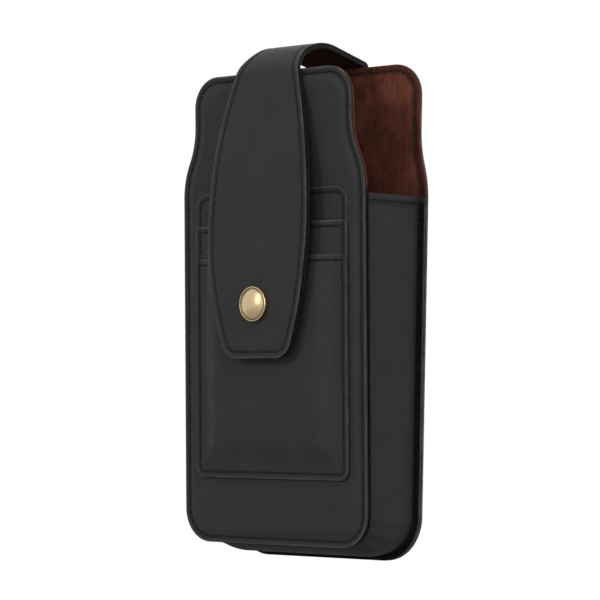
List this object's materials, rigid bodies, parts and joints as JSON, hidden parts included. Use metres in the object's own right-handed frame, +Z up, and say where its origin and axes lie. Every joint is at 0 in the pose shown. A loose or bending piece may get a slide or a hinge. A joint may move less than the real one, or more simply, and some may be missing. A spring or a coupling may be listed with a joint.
{
  "type": "phone belt holster",
  "caption": "Upright leather-look belt pouch for a phone, with card slots on its front, an arched closing strap with a snap, and a belt loop behind.",
  "frame": {"origin": "centre of the belt passage, between the back panel and the belt loop", "axes": "+X to the right seen from the front, -Y out of the front, +Z up; the belt runs along X"},
  "size_m": [0.0874, 0.0546, 0.1858],
  "materials": {
    "leather": "matte, fine grain",
    "lining": "suede-like",
    "board": "matte",
    "brass": "polished"
  },
  "bodies": {
    "pouch": {"back_panel": "leather", "back_board": "board", "back_lining": "lining", "front_panel": "leather", "front_board": "board", "front_lining": "lining", "gusset": "leather", "gusset_lining": "lining", "card_backing": "leather", "card_slot": "leather", "card_pocket": "leather", "belt_loop": "leather", "belt_loop_lining": "lining", "strap_anchor": "leather", "snap_stud": "brass", "snap_post": "brass"},
    "flap": {"strap": "leather", "strap_lining": "lining", "snap_cap": "brass", "snap_socket": "brass"}
  },
  "joints": [
    {"name": "flap_hinge", "type": "hinge", "parent": "pouch", "child": "flap", "pos_m": [0, -0.00205, 0.07355], "axis": [-1, 0, 0], "range_deg": [0, 110]}
  ]
}
